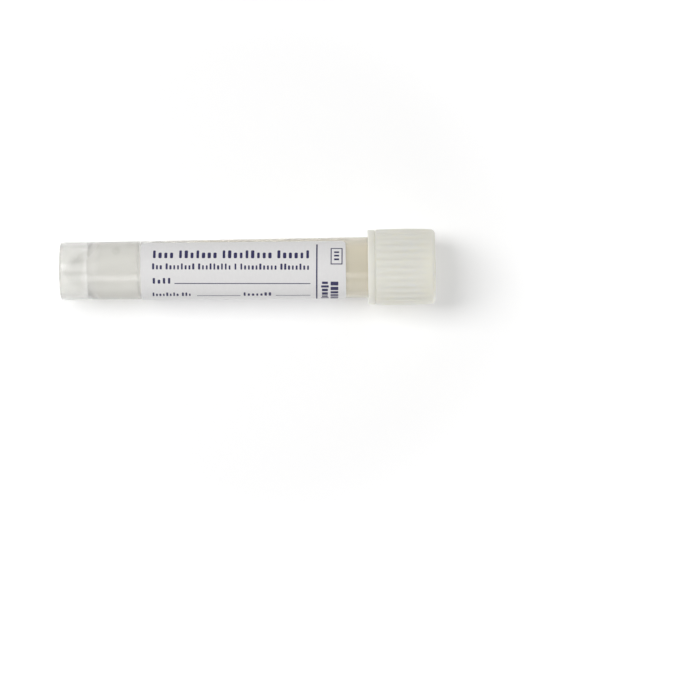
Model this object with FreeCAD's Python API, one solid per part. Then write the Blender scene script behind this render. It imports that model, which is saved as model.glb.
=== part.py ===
"""Self-standing specimen swab tube: a moulded tube, its screw cap, a wrapped label and the liquid medium.

Millimetres. The origin is the centre of the foot that the tube stands on, and +Z runs up the tube's
axis through the cap. Every piece is turned about that axis as a closed solid of its own.
"""

import FreeCAD, Part
import math
import os

from FreeCAD import Vector

# Moulded tube: inside
TUBE_LENGTH = 80.0  # foot to the rim of the mouth
BORE_RADIUS = 5.25  # where the bore meets the pointed floor
MOUTH_RADIUS = 5.5  # bore at the rim: the core pin is drafted
CONE_HALF_ANGLE_DEG = 34.0  # pointed floor, measured from the axis
FLOOR_HEIGHT = 1.9  # lowest point of the inside above the foot
TIP_RADIUS = 1.6  # the pointed floor ends in a ball of this radius
BORE_ROUNDING = 1.2  # where the slope meets the bore

# Moulded tube: walls and outside
BODY_WALL = 1.12  # at the lower end of the bore, before the outside's draft
OUTSIDE_DRAFT_DEG = 0.28  # the outside widens upwards by this angle
CONE_WALL = 1.0  # square to the slope, and round its tip
SKIRT_WALL = 0.95  # at the foot
SKIRT_DRAFT_DEG = 0.4  # inside of the skirt, opening downwards
SKIRT_ROOT_WIDTH = 0.45  # flat ring between the skirt's inside and the slope
FOOT_BEVEL = 0.25  # outer edge of the foot
NECK_LENGTH = 10.7  # shoulder to rim
NECK_WALL = 0.7  # at the rim
SHOULDER_SLOPE = 0.4  # height that the shoulder takes to step in to the neck
RIM_BEVEL = 0.15  # both edges of the rim

# Thread room between the neck and the cap
THREAD_DEPTH = 0.6  # height of the thread's crest above the neck
THREAD_CLEARANCE = 0.15  # crest to the wall of the cap

# Screw cap: outside
CAP_WALL = 1.33  # round the thread, at the collar
CAP_SKIRT_LENGTH = 11.9  # rim of the tube down to the cap's lower edge
CAP_ROOF = 3.0  # rim of the tube up to the cap's top
COLLAR_LENGTH = 1.5  # plain band at the lower edge
COLLAR_BEVEL = 0.2  # lower edge of the collar
COLLAR_GROOVE_WIDTH = 0.35  # between the plain band and the ribbed side
COLLAR_GROOVE_DEPTH = 0.22
SIDE_STEP = 0.05  # how far the ribbed side starts outside the collar
SIDE_SWELL = 0.11  # how far it swells from there to its waist
SIDE_TAPER = 0.165  # how far it draws in from its waist to its upper end
WAIST_HEIGHT = 8.7  # waist above the cap's lower edge
CROWN_STEP = 0.02  # how far the plain crown stands inside the floor of the ribs' hollows
CROWN_BAND = 0.1  # upright band of the crown, below its rounding
CAP_TOP_ROUNDING = 0.9
RIB_COUNT = 30
RIB_HOLLOW_RADIUS = 1.24  # round hollow between two ribs
RIB_HOLLOW_DEPTH = 0.07  # at the lower end of the ribbed side
GATE_RADIUS = 1.3  # shallow dish in the middle of the top
GATE_DEPTH = 0.2

# Screw cap: inside
LEAD_IN = 0.35  # chamfer at the mouth of the cap
TOP_WALL = 1.5  # thickness over the hollow inside the plug
PLUG_CLEARANCE = 0.05  # plug to the bore of the tube
PLUG_WALL = 0.8
PLUG_LENGTH = 2.6  # below the rim
PLUG_BEVEL = 0.25  # both edges of the plug's end
HUB_RADIUS = 2.7  # boss that takes the broken end of a swab's shaft
HUB_LENGTH = 4.6  # below the rim
SOCKET_RADIUS = 1.2  # grips the shaft
FUNNEL_RADIUS = 2.35  # mouth of the socket
FUNNEL_LENGTH = 3.0

# Wrapped label
LABEL_HEIGHT = 17.95  # foot to the label's lower edge
LABEL_LENGTH = 45.25
LABEL_THICKNESS = 0.12
LABEL_GLUE_GAP = 0.02
LABEL_SLOT_WIDTH = 7.4  # uncovered strip between the label's two ends
LABEL_SLOT_TURN_DEG = 175.0  # direction of the strip's middle, about +Z from +X
LABEL_SKEW_DEG = 0.9  # the strip winds round as it climbs: the label was put on slightly askew
LABEL_CORNER_RADIUS = 1.0

# Liquid medium
FILL_HEIGHT = 17.0  # liquid's surface above the foot
MEDIUM_GAP = 0.02  # between the liquid and the wall

# Where the sizes above put things
FOOT_RADIUS = BORE_RADIUS + BODY_WALL
SHOULDER_HEIGHT = TUBE_LENGTH - NECK_LENGTH
SHOULDER_RADIUS = FOOT_RADIUS + SHOULDER_HEIGHT * math.tan(math.radians(OUTSIDE_DRAFT_DEG))
NECK_RADIUS = MOUTH_RADIUS + NECK_WALL
CAP_FOOT = TUBE_LENGTH - CAP_SKIRT_LENGTH
CAP_TOP = TUBE_LENGTH + CAP_ROOF
TIP_CENTRE_HEIGHT = FLOOR_HEIGHT + TIP_RADIUS
CAP_BORE_RADIUS = max(NECK_RADIUS + THREAD_DEPTH, SHOULDER_RADIUS) + THREAD_CLEARANCE
COLLAR_RADIUS = CAP_BORE_RADIUS + CAP_WALL
SIDE_FOOT_RADIUS = COLLAR_RADIUS + SIDE_STEP
SIDE_FOOT_HEIGHT = CAP_FOOT + COLLAR_LENGTH + COLLAR_GROOVE_WIDTH
WAIST_RADIUS = SIDE_FOOT_RADIUS + SIDE_SWELL
HOLLOW_FLOOR_RADIUS = SIDE_FOOT_RADIUS - RIB_HOLLOW_DEPTH
CROWN_RADIUS = HOLLOW_FLOOR_RADIUS - CROWN_STEP
SIDE_TOP_HEIGHT = CAP_TOP - CAP_TOP_ROUNDING - CROWN_BAND
FULL_TURN_DEG = 360.0
BEYOND = 1.0  # how far a cutting solid runs past what it cuts
SAME = 1e-3  # two places closer than this are one
DRAFT_SLOPE = 0.01  # a wall nearer to upright than this is a drafted one


def cone_height(radius):
    """Height of the pointed floor's inner slope at a distance from the axis."""
    angle = math.radians(CONE_HALF_ANGLE_DEG)
    return TIP_CENTRE_HEIGHT - TIP_RADIUS / math.sin(angle) + radius / math.tan(angle)


def under_cone_height(radius):
    """Height of the pointed floor's underside, a wall's thickness below the inner slope."""
    return cone_height(radius) - CONE_WALL / math.sin(math.radians(CONE_HALF_ANGLE_DEG))


def outside_radius(height):
    """Radius of the tube's drafted outside at a height."""
    return FOOT_RADIUS + height * math.tan(math.radians(OUTSIDE_DRAFT_DEG))


def bore_radius(height):
    """Radius of the tube's drafted bore at a height above the pointed floor."""
    bottom = cone_height(BORE_RADIUS)
    share = (height - bottom) / (TUBE_LENGTH - bottom)
    return BORE_RADIUS + share * (MOUTH_RADIUS - BORE_RADIUS)


def corner(radius, height, rounding=0.0):
    """One corner of a turned outline, with the radius that rounds it off."""
    return Vector(radius, 0, height), rounding


def ball_tip(radius):
    """Arc about the tip's centre, from the pointed floor's slope down to the axis."""
    slope = math.radians(CONE_HALF_ANGLE_DEG)
    start, middle, end = (
        Vector(radius * math.cos(angle), 0, TIP_CENTRE_HEIGHT - radius * math.sin(angle))
        for angle in (slope, (slope + math.pi / 2) / 2, math.pi / 2)
    )
    return start, middle, Vector(0, 0, end.z)


def rounded_corner(before, here, after, rounding):
    """Arc that rounds a corner off, as its start, its middle and its end."""
    back = (before - here).normalize()
    onward = (after - here).normalize()
    half_angle = back.getAngle(onward) / 2
    reach = rounding / math.tan(half_angle)
    centre = here + (back + onward).normalize() * (rounding / math.sin(half_angle))
    middle = centre + (here - centre).normalize() * rounding
    return here + back * reach, middle, here + onward * reach


def straight(one, other):
    """Straight edge between two places."""
    return Part.LineSegment(one, other).toShape()


def drafted(one, other):
    """Straight edge whose turned wall keeps few facets where it is drafted, as a spline of two poles."""
    across = abs(one.x - other.x)
    if not SAME < across < DRAFT_SLOPE * abs(one.z - other.z):
        return straight(one, other)
    line = Part.BSplineCurve()
    line.buildFromPolesMultsKnots([one, other], [2, 2], [0, 1], False, 1)
    return line.toShape()


def outline(corners, arcs=(), edge=straight):
    """Closed wire through corners in the XZ plane, joined by edges of one kind.

    Each corner is rounded off as it asks. Each of the arcs, given by three points, takes the place
    of the edge between the two corners that stand at its ends.
    """
    edges = [Part.Arc(*arc).toShape() for arc in arcs]
    ends = []
    for i, (here, rounding) in enumerate(corners):
        if not rounding:
            ends.append((here, here))
            continue
        before = corners[i - 1][0]
        after = corners[(i + 1) % len(corners)][0]
        start, middle, end = rounded_corner(before, here, after, rounding)
        edges.append(Part.Arc(start, middle, end).toShape())
        ends.append((start, end))
    for (_, leave), (arrive, _) in zip(ends, ends[1:] + ends[:1]):
        if not any(spans(arc, leave, arrive) for arc in arcs):
            edges.append(edge(leave, arrive))
    return Part.Wire(Part.__sortEdges__(edges))


def spans(arc, one, other):
    """Whether an arc given by three points runs between two places, either way round."""
    start, _, end = arc
    return (start.isEqual(one, SAME) and end.isEqual(other, SAME)) or (
        start.isEqual(other, SAME) and end.isEqual(one, SAME)
    )


def turned(wire):
    """Solid made by turning a closed wire once about the axis."""
    return Part.Face(wire).revolve(Vector(0, 0, 0), Vector(0, 0, 1), FULL_TURN_DEG)


def make_tube():
    """Tube with a drafted body, a stepped-in neck and a pointed floor inside a skirt to stand on."""
    skirt_foot_radius = FOOT_RADIUS - SKIRT_WALL
    skirt_taper = math.tan(math.radians(SKIRT_DRAFT_DEG))
    skirt_root_height = under_cone_height(skirt_foot_radius - SKIRT_ROOT_WIDTH)
    skirt_root_radius = skirt_foot_radius - skirt_root_height * skirt_taper
    root_inner_radius = skirt_foot_radius - SKIRT_ROOT_WIDTH
    inner_tip = ball_tip(TIP_RADIUS)
    outer_tip = ball_tip(TIP_RADIUS + CONE_WALL)
    return turned(outline(
        [
            corner(FOOT_RADIUS - FOOT_BEVEL, 0),
            corner(outside_radius(FOOT_BEVEL), FOOT_BEVEL),
            corner(SHOULDER_RADIUS, SHOULDER_HEIGHT),
            corner(NECK_RADIUS, SHOULDER_HEIGHT + SHOULDER_SLOPE),
            corner(NECK_RADIUS, TUBE_LENGTH - RIM_BEVEL),
            corner(NECK_RADIUS - RIM_BEVEL, TUBE_LENGTH),
            corner(MOUTH_RADIUS + RIM_BEVEL, TUBE_LENGTH),
            corner(MOUTH_RADIUS, TUBE_LENGTH - RIM_BEVEL),
            corner(BORE_RADIUS, cone_height(BORE_RADIUS), BORE_ROUNDING),
            (inner_tip[0], 0),
            (inner_tip[2], 0),
            (outer_tip[2], 0),
            (outer_tip[0], 0),
            corner(root_inner_radius, skirt_root_height),
            corner(skirt_root_radius, skirt_root_height),
            corner(skirt_foot_radius, 0),
        ],
        [inner_tip, outer_tip],
        drafted,
    ))


def make_cap_blank():
    """Outside of the cap: a plain collar, a fine groove, a side that swells a little, and a crown."""
    collar_top = CAP_FOOT + COLLAR_LENGTH
    groove_radius = COLLAR_RADIUS - COLLAR_GROOVE_DEPTH
    return turned(outline([
        corner(0, CAP_FOOT),
        corner(COLLAR_RADIUS - COLLAR_BEVEL, CAP_FOOT),
        corner(COLLAR_RADIUS, CAP_FOOT + COLLAR_BEVEL),
        corner(COLLAR_RADIUS, collar_top),
        corner(groove_radius, collar_top),
        corner(groove_radius, SIDE_FOOT_HEIGHT),
        corner(SIDE_FOOT_RADIUS, SIDE_FOOT_HEIGHT),
        corner(WAIST_RADIUS, CAP_FOOT + WAIST_HEIGHT),
        corner(WAIST_RADIUS - SIDE_TAPER, SIDE_TOP_HEIGHT),
        corner(CROWN_RADIUS, SIDE_TOP_HEIGHT),
        corner(CROWN_RADIUS, CAP_TOP, CAP_TOP_ROUNDING),
        corner(0, CAP_TOP),
    ]))


def make_rib_hollows():
    """Upright round hollows between the ribs, deepest at the waist, which end where the crown begins."""
    foot = CAP_FOOT + COLLAR_LENGTH + COLLAR_GROOVE_WIDTH / 2
    hollows = []
    for i in range(RIB_COUNT):
        base = Vector(HOLLOW_FLOOR_RADIUS + RIB_HOLLOW_RADIUS, 0, foot)
        hollow = Part.makeCylinder(RIB_HOLLOW_RADIUS, CAP_TOP + BEYOND - foot, base)
        hollow.rotate(Vector(0, 0, 0), Vector(0, 0, 1), (i + 0.5) * FULL_TURN_DEG / RIB_COUNT)
        hollows.append(hollow)
    return hollows


def make_cap_core():
    """Everything that is hollow inside the cap.

    It leaves the seat on the tube's rim, the ring-shaped plug that seals the bore, and the boss in
    the middle, whose funnel leads the broken end of a swab's shaft into its socket.
    """
    plug_radius = MOUTH_RADIUS - PLUG_CLEARANCE
    plug_inner_radius = plug_radius - PLUG_WALL
    plug_foot = TUBE_LENGTH - PLUG_LENGTH
    hub_foot = TUBE_LENGTH - HUB_LENGTH
    hollow_top = CAP_TOP - TOP_WALL
    return turned(outline([
        corner(0, CAP_FOOT - BEYOND),
        corner(CAP_BORE_RADIUS + LEAD_IN + BEYOND, CAP_FOOT - BEYOND),
        corner(CAP_BORE_RADIUS, CAP_FOOT + LEAD_IN),
        corner(CAP_BORE_RADIUS, TUBE_LENGTH),
        corner(plug_radius, TUBE_LENGTH),
        corner(plug_radius, plug_foot + PLUG_BEVEL),
        corner(plug_radius - PLUG_BEVEL, plug_foot),
        corner(plug_inner_radius + PLUG_BEVEL, plug_foot),
        corner(plug_inner_radius, plug_foot + PLUG_BEVEL),
        corner(plug_inner_radius, hollow_top),
        corner(HUB_RADIUS, hollow_top),
        corner(HUB_RADIUS, hub_foot),
        corner(FUNNEL_RADIUS, hub_foot),
        corner(SOCKET_RADIUS, hub_foot + FUNNEL_LENGTH),
        corner(SOCKET_RADIUS, hollow_top),
        corner(0, hollow_top),
    ]))


def make_cap():
    """Screw cap as one moulding, without its fine thread."""
    gate = Part.makeCylinder(GATE_RADIUS, GATE_DEPTH + BEYOND, Vector(0, 0, CAP_TOP - GATE_DEPTH))
    return make_cap_blank().cut(make_rib_hollows()).cut([make_cap_core(), gate])


def box_between(one, other):
    """Box whose opposite corners are two points, in any order."""
    low = Vector(min(one.x, other.x), min(one.y, other.y), min(one.z, other.z))
    size = Vector(abs(one.x - other.x), abs(one.y - other.y), abs(one.z - other.z))
    return Part.makeBox(size.x, size.y, size.z, low)


def make_label_strip(reach):
    """What the label leaves uncovered, along +X about its middle: a leaning strip with round corners."""
    half_width = LABEL_SLOT_WIDTH / 2
    half_length = LABEL_LENGTH / 2
    strip = box_between(
        Vector(0, -half_width, -half_length - reach), Vector(reach, half_width, half_length + reach)
    )
    strip.rotate(Vector(0, 0, 0), Vector(-1, 0, 0), LABEL_SKEW_DEG)
    lean = half_length * math.tan(math.radians(LABEL_SKEW_DEG))
    corners = []
    for side in (-1, 1):
        for end in (-1, 1):
            edge = side * half_width + end * lean
            centre = Vector(0, edge + side * LABEL_CORNER_RADIUS, end * (half_length - LABEL_CORNER_RADIUS))
            outside = Vector(reach, edge - side * BEYOND, end * (half_length + BEYOND))
            disc = Part.makeCylinder(LABEL_CORNER_RADIUS, reach, centre, Vector(1, 0, 0))
            corners.append(box_between(centre, outside).cut(disc))
    return [strip] + corners


def make_label():
    """Label: a thin sleeve on the drafted outside, open along one leaning strip."""
    low = LABEL_HEIGHT
    high = LABEL_HEIGHT + LABEL_LENGTH
    inner = LABEL_GLUE_GAP
    outer = LABEL_GLUE_GAP + LABEL_THICKNESS
    sleeve = turned(outline([
        corner(outside_radius(low) + inner, low),
        corner(outside_radius(low) + outer, low),
        corner(outside_radius(high) + outer, high),
        corner(outside_radius(high) + inner, high),
    ]))
    strip = make_label_strip(outside_radius(high) + outer + BEYOND)
    for piece in strip:
        piece.translate(Vector(0, 0, (low + high) / 2))
        piece.rotate(Vector(0, 0, 0), Vector(0, 0, 1), LABEL_SLOT_TURN_DEG)
    return sleeve.cut(strip)


def make_medium():
    """Liquid at rest in the pointed floor."""
    tip = ball_tip(TIP_RADIUS - MEDIUM_GAP)
    bend_radius = BORE_RADIUS - MEDIUM_GAP
    slope_gap = MEDIUM_GAP / math.sin(math.radians(CONE_HALF_ANGLE_DEG))
    return turned(outline(
        [
            (tip[2], 0),
            (tip[0], 0),
            corner(bend_radius, cone_height(bend_radius) + slope_gap, BORE_ROUNDING),
            corner(bore_radius(FILL_HEIGHT) - MEDIUM_GAP, FILL_HEIGHT),
            corner(0, FILL_HEIGHT),
        ],
        [tip],
        drafted,
    ))


def main():
    """Build every piece and write one STEP file for each."""
    os.makedirs("parts", exist_ok=True)
    pieces = {
        "tube": make_tube(),
        "screw_cap": make_cap(),
        "label": make_label(),
        "medium": make_medium(),
    }
    for name, shape in pieces.items():
        solid = shape.Solids[0]
        print(f"{name}: {len(shape.Solids)} solid, valid {solid.isValid()}, {solid.Volume:.1f} mm3")
        solid.exportStep(f"parts/{name}.step")


main()
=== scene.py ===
"""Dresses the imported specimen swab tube: clear moulded tube, screw cap, printed label and liquid medium.

Lengths in the classes are millimetres along the tube's own axis, with the foot at height 0. They
become metres where a mesh is written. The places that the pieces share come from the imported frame.
"""

from __future__ import annotations

import logging
import math
import random
from dataclasses import dataclass, field
from enum import Enum
from typing import ClassVar

import bmesh
import bpy
from mathutils import Matrix, Vector


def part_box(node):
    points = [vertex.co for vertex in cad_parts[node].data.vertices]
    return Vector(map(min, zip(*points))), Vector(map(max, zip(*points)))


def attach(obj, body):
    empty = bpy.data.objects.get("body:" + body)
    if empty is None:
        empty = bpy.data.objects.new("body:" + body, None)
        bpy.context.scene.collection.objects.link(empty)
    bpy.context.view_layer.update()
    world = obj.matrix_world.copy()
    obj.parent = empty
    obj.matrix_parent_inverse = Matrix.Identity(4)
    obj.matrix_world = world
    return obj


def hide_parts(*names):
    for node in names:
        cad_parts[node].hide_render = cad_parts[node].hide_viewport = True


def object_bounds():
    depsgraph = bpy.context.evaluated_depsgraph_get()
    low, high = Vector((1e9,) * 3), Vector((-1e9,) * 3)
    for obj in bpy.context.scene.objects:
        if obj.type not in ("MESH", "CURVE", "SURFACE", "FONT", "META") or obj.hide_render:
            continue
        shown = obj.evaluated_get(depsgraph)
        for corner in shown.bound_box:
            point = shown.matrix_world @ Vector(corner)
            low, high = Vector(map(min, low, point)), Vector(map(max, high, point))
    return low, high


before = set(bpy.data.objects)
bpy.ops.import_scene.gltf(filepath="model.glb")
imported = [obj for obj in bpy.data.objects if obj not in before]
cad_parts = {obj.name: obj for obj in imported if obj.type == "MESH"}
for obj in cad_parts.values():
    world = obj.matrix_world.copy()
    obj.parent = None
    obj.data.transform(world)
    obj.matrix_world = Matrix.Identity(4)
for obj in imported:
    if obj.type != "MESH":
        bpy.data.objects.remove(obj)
CAD_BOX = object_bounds()

MM = 0.001
FULL_TURN = 2 * math.pi
SMOOTH_ANGLE = math.radians(32)
BODY_DRAFT = math.radians(0.28)
ARC_STEPS_IN_MM = 9
LEAST_ARC_STEPS = 3
MOST_ARC_STEPS = 12
AXIS_RADIUS = 1e-6

log = logging.getLogger("swab_tube")


# ---------------------------------------------------------------------------------------------
# Node trees as Python expressions


class Value:
    """A socket of a node tree that takes part in Python arithmetic, one Math node for each operator."""

    def __init__(self, graph: Graph, socket: bpy.types.NodeSocket) -> None:
        """Wraps an output socket of a tree."""
        self.graph = graph
        self.socket = socket

    def maths(self, operation: str, *others: Value | float) -> Value:
        """Adds a Math node whose first number is this one.

        Args:
            operation: the Math node's operation.
            others: its other numbers.

        Returns:
            The node's result.
        """
        inputs = dict(enumerate((self, *others)))
        return self.graph.node("ShaderNodeMath", {"operation": operation}, inputs)

    def under(self, first: float, operation: str) -> Value:
        """Adds a Math node whose second number is this one."""
        return self.graph.node("ShaderNodeMath", {"operation": operation}, {0: first, 1: self})

    def output(self, name: str) -> Value:
        """Another output of the same node, by name."""
        return Value(self.graph, self.socket.node.outputs[name])

    def parts(self) -> tuple[Value, Value, Value]:
        """The three numbers of a vector."""
        split = self.graph.node("ShaderNodeSeparateXYZ", None, {0: self}, "X")
        return split, split.output("Y"), split.output("Z")

    def __add__(self, other: Value | float) -> Value:
        """This plus other."""
        return self.maths("ADD", other)

    def __sub__(self, other: Value | float) -> Value:
        """This less other."""
        return self.maths("SUBTRACT", other)

    def __mul__(self, other: Value | float) -> Value:
        """This times other."""
        return self.maths("MULTIPLY", other)

    def __truediv__(self, other: Value | float) -> Value:
        """This over other."""
        return self.maths("DIVIDE", other)

    def __neg__(self) -> Value:
        """This with its sign turned."""
        return self * -1.0

    def __radd__(self, other: float) -> Value:
        """A number plus this."""
        return self + other

    def __rmul__(self, other: float) -> Value:
        """A number times this."""
        return self * other

    def __rsub__(self, other: float) -> Value:
        """A number less this."""
        return self.under(other, "SUBTRACT")

    def __rtruediv__(self, other: float) -> Value:
        """A number over this."""
        return self.under(other, "DIVIDE")

    def clamped(self) -> Value:
        """This kept between 0 and 1."""
        settings = {"operation": "ADD", "use_clamp": True}
        return self.graph.node("ShaderNodeMath", settings, {0: self, 1: 0.0})

    def eased(self) -> Value:
        """A share from 0 to 1 with its two ends flattened, as in a smooth step."""
        share = self.clamped()
        return share * share * (3.0 - 2.0 * share)


class Graph:
    """Adds nodes to one tree, of a material or of Geometry Nodes."""

    def __init__(self, tree: bpy.types.NodeTree) -> None:
        """Takes the tree over, empty."""
        self.tree = tree
        self.tree.nodes.clear()

    def node(
        self,
        kind: str,
        settings: dict | None = None,
        inputs: dict | None = None,
        output: int | str = 0,
    ) -> Value:
        """Adds one node.

        Args:
            kind: the node's type.
            settings: its own settings, set first.
            inputs: values or links of its sockets, by name or number.
            output: the output that the result stands for.

        Returns:
            That output, or nothing to link from where the node has none.
        """
        made = self.tree.nodes.new(kind)
        for name, setting in (settings or {}).items():
            setattr(made, name, setting)
        for key, given in (inputs or {}).items():
            if isinstance(given, Value):
                self.tree.links.new(given.socket, made.inputs[key])
            else:
                made.inputs[key].default_value = given
        return Value(self, made.outputs[output] if made.outputs else None)

    def tint(self, share: Value, low: tuple | Value, high: tuple | Value) -> Value:
        """Mixes two colours.

        Args:
            share: 0 gives low and 1 gives high.
            low: a colour.
            high: another.

        Returns:
            The mixed colour.
        """
        low, high = (given if isinstance(given, Value) else (*given, 1.0) for given in (low, high))
        settings = {"data_type": "RGBA", "clamp_factor": True}
        return self.node("ShaderNodeMix", settings, {0: share, 6: low, 7: high}, 2)

    def noise(self, scale: float, detail: float = 2.0, place: Value | None = None) -> Value:
        """Noise on the object's own coordinates.

        Args:
            scale: features in a metre.
            detail: octaves.
            place: coordinates to read instead.

        Returns:
            The noise, from 0 to 1.
        """
        where = place or self.object_place()
        return self.node("ShaderNodeTexNoise", None, {"Vector": where, "Scale": scale, "Detail": detail})

    def object_place(self, scale: tuple[float, float, float] | None = None) -> Value:
        """The object's own coordinates, stretched where a scale is given."""
        place = self.node("ShaderNodeTexCoord", output="Object")
        return self.node("ShaderNodeMapping", None, {"Vector": place, "Scale": scale}) if scale else place

    def bump(self, height: Value, strength: float, distance: float) -> Value:
        """Bump for a Normal socket.

        Args:
            height: the relief, from 0 to 1.
            strength: the node's strength.
            distance: how many metres a height of 1 stands for.

        Returns:
            The bent normal.
        """
        inputs = {"Height": height, "Strength": strength, "Distance": distance}
        return self.node("ShaderNodeBump", None, inputs)

    def seen_directly(self) -> Value:
        """1 for a ray from the camera, straight, mirrored or through glass, and 0 for other rays."""
        path = self.node("ShaderNodeLightPath", output="Is Camera Ray")
        return (path + path.output("Is Glossy Ray") + path.output("Is Transmission Ray")).clamped()

    def position(self) -> Value:
        """Where each point of the geometry is."""
        return self.node("GeometryNodeInputPosition")

    def attribute(self, name: str, kind: str = "FLOAT") -> Value:
        """An attribute of the geometry, by name."""
        return self.node("GeometryNodeInputNamedAttribute", {"data_type": kind}, {"Name": name}, "Attribute")

    def moved(self, geometry: Value, across: Value, along: Value, up: Value) -> Value:
        """The geometry with each of its points at a new place."""
        place = self.node("ShaderNodeCombineXYZ", None, {0: across, 1: along, 2: up})
        return self.node("GeometryNodeSetPosition", None, {"Geometry": geometry, "Position": place})


# ---------------------------------------------------------------------------------------------
# Finishes


def from_screen(red: int, green: int, blue: int) -> tuple[float, float, float]:
    """Linear colour of three screen values from 0 to 255.

    Args:
        red: the red value.
        green: the green value.
        blue: the blue value.

    Returns:
        The colour.
    """
    linear = []
    for level in (red, green, blue):
        share = level / 255
        linear.append(share / 12.92 if share <= 0.04045 else ((share + 0.055) / 1.055) ** 2.4)
    return tuple(linear)


@dataclass(frozen=True)
class Finish:
    """What a surface is made of. Each finish adds its own shader."""

    name: str

    def material(self) -> bpy.types.Material:
        """Builds the finish as a material.

        Returns:
            The material.
        """
        made = bpy.data.materials.new(self.name)
        made.use_nodes = True
        graph = Graph(made.node_tree)
        graph.node("ShaderNodeOutputMaterial", None, {"Surface": self.shader(graph)})
        return made

    def shader(self, graph: Graph) -> Value:
        """Adds the finish's shader to a tree."""
        raise NotImplementedError


def lamps_through(graph: Graph, surface: Value, shade: tuple[float, float, float]) -> Value:
    """Lets the light of lamps through a clear surface, so that it casts a clear body's light shadow.

    Args:
        graph: the material's tree.
        surface: the surface's own shader.
        shade: the share of the light that gets through.

    Returns:
        The shader of both.
    """
    to_lamp = graph.node("ShaderNodeLightPath", output="Is Shadow Ray")
    through = graph.node("ShaderNodeBsdfTransparent", None, {"Color": (*shade, 1.0)})
    return graph.node("ShaderNodeMixShader", None, {0: to_lamp, 1: surface, 2: through})


@dataclass(frozen=True)
class ClearPlastic(Finish):
    """Clear moulded plastic, a little milky, with the ripples and haze of the mould.

    The part that stands over the liquid is painted darker and warmer, as painted shade. It starts
    at warm_from and is full at warm_to, which are heights in metres. A paler band round the thick
    root of the skirt, within root_spread of root_height, is a painted highlight.
    """

    tint: tuple[float, float, float] = (0.852, 0.85, 0.828)
    # painted shade: the darker, warmer tint of the tube above the liquid
    warm_shade_tint: tuple[float, float, float] = (0.83, 0.795, 0.695)
    warm_from: float = 0.017
    warm_to: float = 0.035
    # painted highlight: the paler tint round the skirt's thick root
    root_highlight_tint: tuple[float, float, float] = (0.965, 0.963, 0.95)
    root_height: float = 0.0066
    root_spread: float = 0.0022
    refraction: float = 1.49
    clearness: float = 0.74
    shade: tuple[float, float, float] = (0.55, 0.55, 0.535)
    haze: tuple[float, float] = (0.16, 0.26)
    haze_scale: float = 260.0
    ripple_scale: float = 190.0
    ripple_stretch: tuple[float, float, float] = (1.0, 1.0, 0.25)
    ripple_strength: float = 0.5
    ripple_depth: float = 0.000012

    def shader(self, graph: Graph) -> Value:
        """Adds the clear shader, hazier in soft patches and rippled along the flow.

        Args:
            graph: the material's tree.

        Returns:
            The shader.
        """
        low, high = self.haze
        patches = graph.noise(self.haze_scale, 3.0)
        ripple = graph.noise(self.ripple_scale, 1.0, graph.object_place(self.ripple_stretch))
        _, _, up = graph.object_place().parts()
        # painted shade: share of the darker, warmer tint, full from warm_to upwards
        warm_shade = ((up - self.warm_from) / (self.warm_to - self.warm_from)).eased()
        # painted highlight: a paler band within root_spread of root_height
        root = (1.0 - (up - self.root_height).maths("ABSOLUTE") / self.root_spread).eased()
        body_tint = graph.tint(warm_shade, self.tint, self.warm_shade_tint)
        plastic = graph.node(
            "ShaderNodeBsdfPrincipled",
            None,
            {
                "Base Color": graph.tint(root, body_tint, self.root_highlight_tint),
                "Transmission Weight": self.clearness,
                "IOR": self.refraction,
                "Roughness": patches * (high - low) + low,
                "Normal": graph.bump(ripple, self.ripple_strength, self.ripple_depth),
            },
        )
        return lamps_through(graph, plastic, self.shade)


@dataclass(frozen=True)
class Liquid(Finish):
    """Clear, faintly straw-coloured liquid with a trace of cloudiness."""

    tint: tuple[float, float, float] = (0.965, 0.955, 0.93)
    clearing: float = 1.015
    refraction: float = 1.33
    cloud_scale: float = 120.0
    cloud_roughness: float = 0.02

    def shader(self, graph: Graph) -> Value:
        """Adds the liquid's shader.

        Args:
            graph: the material's tree.

        Returns:
            The shader.
        """
        cloud = graph.noise(self.cloud_scale, 2.0)
        clear = tuple(min(1.0, part * self.clearing) for part in self.tint)
        liquid = graph.node(
            "ShaderNodeBsdfPrincipled",
            None,
            {
                "Base Color": graph.tint(cloud, self.tint, clear),
                "Transmission Weight": 1.0,
                "IOR": self.refraction,
                "Roughness": cloud * self.cloud_roughness,
            },
        )
        return lamps_through(graph, liquid, self.tint)


@dataclass(frozen=True)
class CapPlastic(Finish):
    """Natural, slightly translucent moulded plastic with a satin skin."""

    light: tuple[float, float, float] = from_screen(228, 227, 217)
    deep: tuple[float, float, float] = from_screen(222, 220, 209)
    satin: tuple[float, float] = (0.36, 0.5)
    refraction: float = 1.5
    milkiness: float = 0.85
    glow_depths: tuple[float, float, float] = (4.2, 3.9, 3.1)
    flow_scale: float = 130.0
    skin_scale: float = 2600.0
    skin_strength: float = 0.35
    skin_depth: float = 0.00001

    def shader(self, graph: Graph) -> Value:
        """Adds the cap's shader: soft flow marks in its colour, a fine spark texture in its skin.

        Args:
            graph: the material's tree.

        Returns:
            The shader.
        """
        low, high = self.satin
        flow = graph.noise(self.flow_scale, 3.0)
        skin = graph.noise(self.skin_scale, 2.0)
        return graph.node(
            "ShaderNodeBsdfPrincipled",
            None,
            {
                "Base Color": graph.tint(flow, self.deep, self.light),
                "Roughness": skin * (high - low) + low,
                "IOR": self.refraction,
                "Subsurface Weight": self.milkiness,
                "Subsurface Scale": MM,
                "Subsurface Radius": self.glow_depths,
                "Normal": graph.bump(skin, self.skin_strength, self.skin_depth),
            },
        )


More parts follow.
